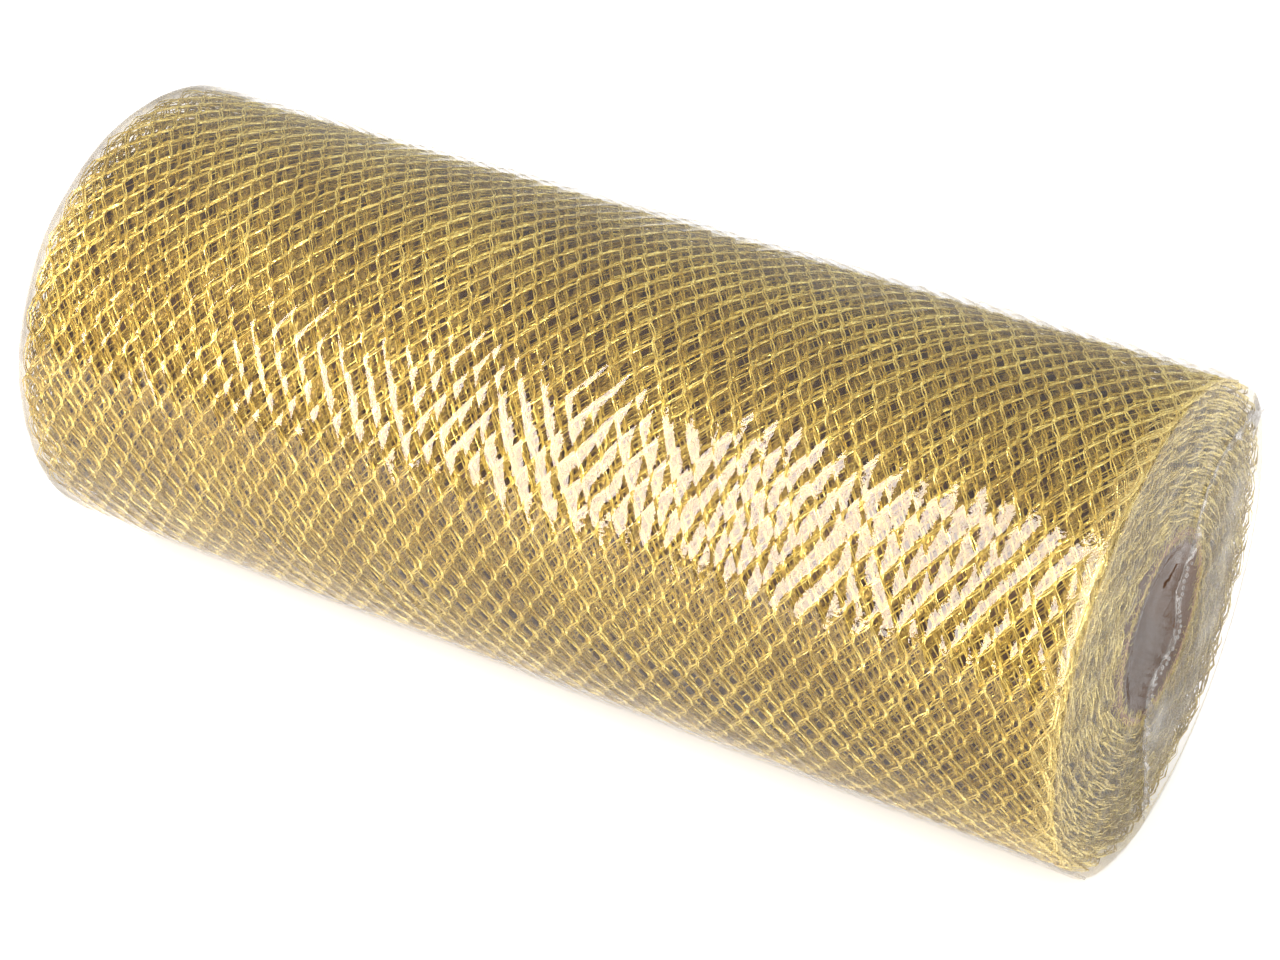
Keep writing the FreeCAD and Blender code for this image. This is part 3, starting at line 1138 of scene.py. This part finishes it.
@dataclass
class FilmBag:
    """The shrink-film bag: its skin, its gathered seal, its open end's curled rim, and its side seal."""

    plan: RollPlan
    effects: Effects
    net: WoundNet
    route: SealRoute = field(default_factory=SealRoute)
    columns: int = 252
    side_rows: int = 180
    mouth_radius: float = 26 * MM
    shoulder: float = 2.6 * MM  # radius of the soft bend at the open end
    corner: float = 1.1 * MM  # radius of the tight bend at the sealed end
    flare: float = 0.085  # slope of the wall just before that bend
    flare_length: float = 2.2 * MM
    slack: float = 0.12 * MM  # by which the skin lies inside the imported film
    ripple: float = 0.11 * MM
    end_gap: float = 0.2 * MM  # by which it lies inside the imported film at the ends
    pleat: float = 0.16 * MM
    pleat_length: float = 1.15 * MM
    end_crumple: float = 0.13 * MM
    back_crumple: float = 0.12 * MM
    seal_ridge: float = 0.45 * MM
    mouth_sink: float = 1.5 * MM
    spoke: float = 0.15 * MM  # radial folds over the open end
    seal_height: float = 1.15 * MM
    sheet_wall: float = 0.12 * MM
    dog_ear_place: tuple[float, float] = (45.0, 27.5)
    vents: tuple[Spot, ...] = (Spot(2.6, 9.4, 2.3, 0.9), Spot(5.8, 10.6, 1.2, 0.7), Spot(9.9, -5.4, 0.9, 1.3))
    patches: tuple[Spot, ...] = (
        Spot(2.5, -27.0, 6.0, 6.0, 0.55), Spot(11.0, -33.0, 6.0, 6.0, 0.3), Spot(33.0, -2.0, 7.0, 7.0, 0.42),
        Spot(36.0, 12.0, 6.5, 6.5, 0.42), Spot(28.0, -18.0, 6.5, 6.5, 0.36), Spot(21.0, -31.0, 6.0, 6.0, 0.3),
        Spot(43.0, 25.0, 4.5, 4.5, 0.4), Spot(8.0, 13.0, 4.0, 4.0, 0.3),
    )

    def profile(self) -> Points:
        """The skin's outline from the middle of the sealed end round to the rim of the open end.

        Returns:
            Rows of X and radius.
        """
        plan, bend = self.plan, self.shoulder
        side = plan.film_radius - self.slack
        end = plan.film_end - self.end_gap
        quarter = np.linspace(0, math.pi / 2, 8)
        face = np.stack([np.full(56, end), np.linspace(0, side - self.corner, 56)], axis=1)
        tight = self.corner
        near = np.stack(
            [end - tight + tight * np.cos(quarter), side - tight + tight * np.sin(quarter)], axis=1
        )
        lip = end - tight - self.flare_length
        long_rows = np.linspace(lip, -end + bend, self.side_rows)
        x = np.concatenate([np.linspace(end - tight, lip, 8), long_rows[1:]])
        wall = np.stack([x, np.full(x.size, side)], axis=1)
        far = np.stack([-end + bend - bend * np.sin(quarter), side - bend + bend * np.cos(quarter)], axis=1)
        back = np.stack([np.full(26, -end), np.linspace(side - bend, self.mouth_radius, 26)], axis=1)
        return np.vstack([face, near[1:], wall[1:], far[1:], back[1:]])

    def lattice(self, x: np.ndarray, angle: np.ndarray) -> tuple[np.ndarray, np.ndarray]:
        """Where each place on the wall lies among the strands below it.

        Args:
            x: places along the roll.
            angle: angles about the roll.

        Returns:
            For each family of strands a count that is whole on a strand.
        """
        net = self.net
        wound = TURN * (self.plan.turns - 1) + np.mod(angle - self.plan.tail_angle, TURN)
        along = net.length_at(wound)
        across, further, _ = net.shifts(x, along)
        u = (x - across - net.offset) / net.column_width + net.columns / 2
        v = (wound / TURN - self.plan.turns) * net.rows_per_turn - further / net.row_length
        return u - v, u + v

    def _relief(self, x: np.ndarray, radius: np.ndarray, angle: np.ndarray) -> tuple[np.ndarray, np.ndarray]:
        """How far the skin stands outwards of its profile, over the wall and over the sealed end.

        Args:
            x: places along the roll.
            radius: distances from the axis.
            angle: angles about the axis.

        Returns:
            The shift away from the axis, and the shift along X.
        """
        plan = self.plan
        y, z = radius * np.cos(angle), radius * np.sin(angle)
        girth = plan.film_radius * np.mod(angle - plan.tail_angle, TURN)
        on_wall = smooth_step(0.86, 0.97, radius / plan.film_radius)
        ripple = wander(60, 9, 34, x * 0.55, girth, 12)
        lip = np.clip(x - (plan.film_end - self.corner - self.flare_length), 0, self.flare_length)
        wall = on_wall * (self.ripple * ripple + self.flare * lip)
        gap, along = self.route.nearest(y, z)
        pleats = np.sin(along / self.pleat_length + 2.2 * wander(62, 8, 30, y, z))
        crumple = wander(61, 6, 26, y, z, 14)
        ridge = np.exp(-((gap / (1.3 * MM)) ** 2))
        face = self.pleat * pleats * np.exp(-gap / (4 * MM)) + self.end_crumple * crumple
        face = face + self.seal_ridge * ridge
        face = face - self.mouth_sink * self._over_mouth(radius)
        on_face = (x > plan.film_end - self.shoulder) * (1 - on_wall)
        spokes = self.spoke * np.sin(angle * 61 + 3 * np.sin(angle * 7)) + self.back_crumple * crumple
        on_back = (x < -plan.film_end + self.shoulder) * (1 - on_wall)
        return wall, face * on_face - spokes * on_back

    def _over_mouth(self, radius: np.ndarray) -> np.ndarray:
        """How far the film has sunk into the core's mouth, from 0 at its rim to 1."""
        return 1 - smooth_step(0.72, 1.02, radius / self.plan.bore_radius)

    def _haze(self, points: Points, radius: np.ndarray) -> np.ndarray:
        """How milky the film is at each point, from 0 to 1."""
        x, y, z = points.T
        gap, _ = self.route.nearest(y, z)
        at_end = smooth_step(self.plan.film_end - 6 * MM, self.plan.film_end - 1 * MM, x)
        at_back = smooth_step(self.plan.film_end - 3.4 * MM, self.plan.film_end - 0.4 * MM, -x)
        over_mouth = 1 - smooth_step(0.85, 1.02, radius / self.plan.bore_radius)
        patches = sum(patch.strength * np.exp(-patch.far(y, z)) for patch in self.patches)
        end = at_end * (0.05 + patches + 0.3 * np.exp(-((gap / (0.8 * MM)) ** 2)) + 0.05 * over_mouth)
        rim = smooth_step(0.88, 0.97, radius / self.plan.film_radius)
        return np.clip(end + at_back * (0.10 + 0.72 * rim), 0, 0.85)

    def _dished(self, x: np.ndarray, radius: np.ndarray) -> np.ndarray:
        """How deeply the film sinks between the strands: 1 on the wall, less near the seal, 0 off the wall."""
        on_wall = smooth_step(0.94, 0.985, radius / self.plan.film_radius)
        flatter = 1 - 0.25 * smooth_step(45 * MM, 120 * MM, x)
        return on_wall * flatter * (1 - smooth_step(121 * MM, 123 * MM, x))

    def build_skin(self) -> bpy.types.Object:
        """Builds the skin as one sheet, wrapped round the roll and drawn in over both ends."""
        profile = self.profile()
        rows, columns = len(profile), self.columns
        skin, along, around = grid_of("film_skin", rows - 1, columns)
        row = np.rint(along * (rows - 1)).astype(int)
        column = np.rint(around * columns)
        angle = self.plan.tail_angle + TURN * column / columns
        x, radius = profile[row].T
        wall, face = self._relief(x, radius, angle)
        grown = radius + wall
        points = np.stack([x + face, grown * np.cos(angle), grown * np.sin(angle)], axis=1)
        points[:, 2] = np.maximum(points[:, 2], -self.plan.rest_height)
        place_points(skin, points)
        with edit_mode(skin):
            bpy.ops.mesh.remove_doubles(threshold=1e-6)
            bpy.ops.mesh.normals_make_consistent(inside=False)
        self._cut_vents(skin)
        points = points_of(skin)
        radius = np.hypot(points[:, 1], points[:, 2])
        angle = np.arctan2(points[:, 2], points[:, 1])
        haze = skin.data.attributes.new("haze", "FLOAT", "POINT")
        haze.data.foreach_set("value", self._haze(points, radius))
        x = points[:, 0]
        marks = np.stack([*self.lattice(x, angle), self._dished(x, radius)], axis=1)
        lattice = skin.data.attributes.new("lattice", "FLOAT_VECTOR", "POINT")
        lattice.data.foreach_set("vector", marks.astype(np.float32).ravel())
        smooth(skin)
        return skin

    def _cut_vents(self, skin: bpy.types.Object) -> None:
        """Opens the small holes that have burst in the film beside the seal."""

        def burst(face: bpy.types.MeshPolygon) -> bool:
            """Whether the face lies in one of the holes."""
            x, y, z = face.center
            return x > self.plan.film_end - 5 * MM and any(vent.far(y, z) < 1 for vent in self.vents)

        select_faces(skin, burst)
        with edit_mode(skin, "KEEP"):
            bpy.ops.mesh.delete(type="FACE")

    def build_seal(self) -> bpy.types.Object:
        """Builds the gathered seal: a low ruffled strip along the route, standing up from the end."""
        count, across = 300, 5
        line = self.route.line(count + 1)
        seal, along, rise = grid_of("film_seal", count, across)
        index = np.rint(along * count).astype(int)
        tangent = np.gradient(line, axis=0)
        tangent /= np.linalg.norm(tangent, axis=1)[:, None]
        normal = np.stack([-tangent[:, 1], tangent[:, 0]], axis=1)
        run = index * float(np.linalg.norm(line[1] - line[0]))
        tall = (0.5 + 0.4 * wander(70, 2.2, 9, run, run * 0)) * self.seal_height
        lean = 0.9 * MM * wander(71, 1.4, 6, run, rise * 2 * MM) * rise
        y, z = (line[index, k] + normal[index, k] * lean for k in (0, 1))
        base = self.plan.film_end - 0.1 * MM - 1.3 * MM * self._over_mouth(np.hypot(y, z))
        x = base + np.maximum(tall, 0.25 * MM) * rise
        place_points(seal, np.stack([x, y, z], axis=1))
        return self._ended(seal, 0.22, sheet=True)

    def build_beads(self) -> bpy.types.Object:
        """Builds the chain of shrunken beads on the seal where it crosses the core's mouth."""
        line = self.route.line(90)
        inside = [p for p in line if math.hypot(*p) < self.plan.bore_radius]
        draw = np.random.default_rng(SEED + 80)
        beads = []
        for y, z in inside:
            deselect_all()
            size = draw.uniform(0.28, 0.5) * MM
            x = self.plan.film_end - draw.uniform(0.1, 0.9) * MM
            bpy.ops.mesh.primitive_ico_sphere_add(subdivisions=2, radius=size, location=(x, y, z))
            bead = settled("bead")
            with edit_mode(bead):
                bpy.ops.transform.resize(value=(0.7, 1.0, 1.25), center_override=(x, y, z))
            beads.append(bead)
        chain = joined("film_seal_beads", beads)
        return self._ended(chain, 0.35)

    def build_rim(self) -> bpy.types.Object:
        """Builds the curled rim that the film has shrunk back to at the open end."""
        deselect_all()
        bpy.ops.mesh.primitive_torus_add(
            major_segments=180,
            minor_segments=8,
            major_radius=self.mouth_radius,
            minor_radius=0.38 * MM,
            location=(-self.plan.film_end + 0.5 * MM, 0, 0),
            rotation=(0, math.pi / 2, 0),
        )
        rim = settled("film_open_rim")
        points = points_of(rim)
        angle = np.arctan2(points[:, 2], points[:, 1])
        girth = angle * self.mouth_radius
        points[:, 0] += 0.25 * MM * np.sin(23 * angle + np.sin(5 * angle))
        grow = 1 + 0.012 * np.sin(9 * angle) + 0.008 * np.sin(31 * angle + girth)
        points[:, 1:] *= grow[:, None]
        place_points(rim, points)
        return self._ended(rim, 0.3)

    def build_side_seal(self) -> bpy.types.Object:
        """Builds the thin welded bead that runs the length of the bag, low at the front."""
        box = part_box("film_side_seal")
        middle = (box[0] + box[1]) / 2
        length = box[1].x - box[0].x
        deselect_all()
        bpy.ops.mesh.primitive_cylinder_add(
            vertices=8,
            radius=0.32 * MM,
            depth=length,
            location=(0, middle.y, middle.z),
            rotation=(0, math.pi / 2, 0),
        )
        bead = settled("film_side_bead")
        with edit_mode(bead):
            for share in np.linspace(-0.49, 0.49, 120):
                bpy.ops.mesh.select_all(action="SELECT")
                bpy.ops.mesh.bisect(plane_co=(share * length, 0, 0), plane_no=(1, 0, 0))
        points = points_of(bead)
        points[:, 1] += 0.18 * MM * wander(90, 4, 25, points[:, 0], 0 * points[:, 0])
        points[:, 2] += 0.12 * MM * wander(90, 4, 25, points[:, 0] + 0.1, 0 * points[:, 0])
        place_points(bead, points)
        return self._ended(bead, 0.4)

    def build_dog_ear(self) -> bpy.types.Object:
        """Builds the small folded ear of film where the seal meets the rim."""
        angle = math.atan2(self.dog_ear_place[1], self.dog_ear_place[0])
        ear, out, around = grid_of("film_dog_ear", 12, 10)
        way = around - 0.5
        radius = self.plan.film_radius - 5.0 * MM + 7.4 * MM * out
        girth = way * 9 * MM * (1 - 0.85 * out)
        fold = 1.1 * MM * (1 - np.abs(2 * way)) + 0.35 * MM * np.sin(9 * way + 4 * out)
        turn = angle + girth / radius
        x = self.plan.film_end - 0.9 * MM + fold * (1 - 0.3 * out) - 2.2 * MM * out**2
        place_points(ear, np.stack([x, radius * np.cos(turn), radius * np.sin(turn)], axis=1))
        return self._ended(ear, 0.4, sheet=True)

    def _ended(self, piece: bpy.types.Object, level: float, sheet: bool = False) -> bpy.types.Object:
        """Gives a small piece one level of haze and smooth shading.

        Args:
            piece: the piece.
            level: how milky it is.
            sheet: whether it is a bare sheet, which gets its wall first.

        Returns:
            The piece.
        """
        if sheet:
            activate(piece)
            wall = piece.modifiers.new("wall", "SOLIDIFY")
            wall.thickness = self.sheet_wall
            wall.offset = 0
            bpy.ops.object.modifier_apply(modifier=wall.name)
        haze = piece.data.attributes.new("haze", "FLOAT", "POINT")
        haze.data.foreach_set("value", np.full(len(piece.data.vertices), level))
        smooth(piece)
        return piece

    def build(self) -> None:
        """Builds the bag's pieces and dresses them."""
        material = FilmFinish("shrink_film").material(self.effects)
        made = {
            "film_bag": (self.build_skin(), self.build_rim()),
            "film_end_seal": (self.build_seal(), self.build_beads(), self.build_dog_ear()),
            "film_side_seal": (self.build_side_seal(),),
        }
        for node, pieces in made.items():
            for piece in pieces:
                declare(piece, material, node)


# --------------------------------------------------------------------------------------------------
# The core and the tapes


@dataclass
class PaperCore:
    """The spirally wound core and the tapes on the net's two ends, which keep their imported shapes."""

    effects: Effects

    def build(self) -> None:
        """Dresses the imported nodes."""
        board = BoardFinish("kraft_board").material(self.effects)
        tape = FilmFinish(
            "clear_tape", milk=(0.78, 0.74, 0.62, 1), gloss_roughness=0.12, haze=0.1, crease=0.3
        )
        clear = tape.material(self.effects)
        for name, node in frame["nodes"].items():
            if name.startswith("core_"):
                dress(node, board)
            elif name.endswith("_tape"):
                dress(node, clear)
            LOG.info("%s: packed node", name)


# --------------------------------------------------------------------------------------------------
# The studio


@dataclass
class Studio:
    """The floor, the lights and the camera."""

    plan: RollPlan
    azimuth: float = math.radians(30.956)
    elevation: float = math.radians(33.458)
    lens: float = 82.1
    horizon: float = 0.86
    zenith: float = 1.34
    floor_size: float = 6.0
    distance: float = 12.032
    aim: tuple[float, float, float] = (0.086, 0.0, -0.113)
    key_place: tuple[float, float, float] = (-0.285, -0.70, 0.44)
    key_size: tuple[float, float] = (0.22, 1.0)
    key_power: float = 13.4
    key_colour: tuple[float, float, float] = (1.0, 0.89, 0.80)

    def build_camera(self) -> None:
        """Places the camera. Its distance and aim are in film radii, so that they follow the roll's size."""
        radius = self.plan.film_radius
        back = Vector(
            (
                math.sin(self.azimuth) * math.cos(self.elevation),
                -math.cos(self.azimuth) * math.cos(self.elevation),
                math.sin(self.elevation),
            )
        )
        deselect_all()
        bpy.ops.object.camera_add(location=Vector(self.aim) * radius + back * self.distance * radius)
        camera = bpy.context.object
        camera.rotation_euler = back.to_track_quat("Z", "Y").to_euler()
        camera.data.lens = self.lens
        camera.data.sensor_width = 36.0
        camera.data.clip_start = 0.01
        bpy.context.scene.camera = camera

    def build_lights(self) -> None:
        """Adds the tall key light at the front left, turned to the roll, and the pale surroundings."""
        place = Vector(self.key_place)
        deselect_all()
        bpy.ops.object.light_add(type="AREA", location=place)
        key = bpy.context.object
        key.name = "key"
        key.rotation_euler = place.to_track_quat("Z", "Y").to_euler()
        key.data.shape = "RECTANGLE"
        key.data.size, key.data.size_y = self.key_size
        key.data.energy = self.key_power
        key.data.color = self.key_colour
        world = bpy.data.worlds.new("pale_room")
        world.use_nodes = True
        graph = Graph(world.node_tree)
        height = graph.add("SeparateXYZ", Vector=graph.add("TexCoord").outputs["Generated"]).outputs[2]
        strength = graph.spread(height, 0.0, 1.0, (self.horizon, self.zenith))
        sky = graph.add("Background", Strength=strength, Color=(1, 1, 1, 1))
        graph.add("OutputWorld", Surface=sky.outputs[0])
        bpy.context.scene.world = world
        bpy.context.scene.view_settings.view_transform = "Standard"

    def build_floor(self) -> None:
        """Adds the floor that the roll rests on."""
        deselect_all()
        level = -self.plan.rest_height - 0.02 * MM
        bpy.ops.mesh.primitive_plane_add(size=self.floor_size, location=(0, 0, level))
        floor = settled("floor")
        dress(floor, FloorFinish("pale_floor").material())

    def build(self) -> None:
        """Builds the studio."""
        self.build_camera()
        self.build_lights()
        self.build_floor()


def main() -> None:
    """Builds the scene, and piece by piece."""
    logging.basicConfig(level=logging.INFO, format="%(name)s: %(message)s")
    plan = RollPlan.from_frame()
    Studio(plan).build()
    effects = Effects()
    PaperCore(effects).build()
    net = WoundNet(plan, effects)
    net.build()
    FilmBag(plan, effects, net).build()


if __name__ == "__main__":
    main()
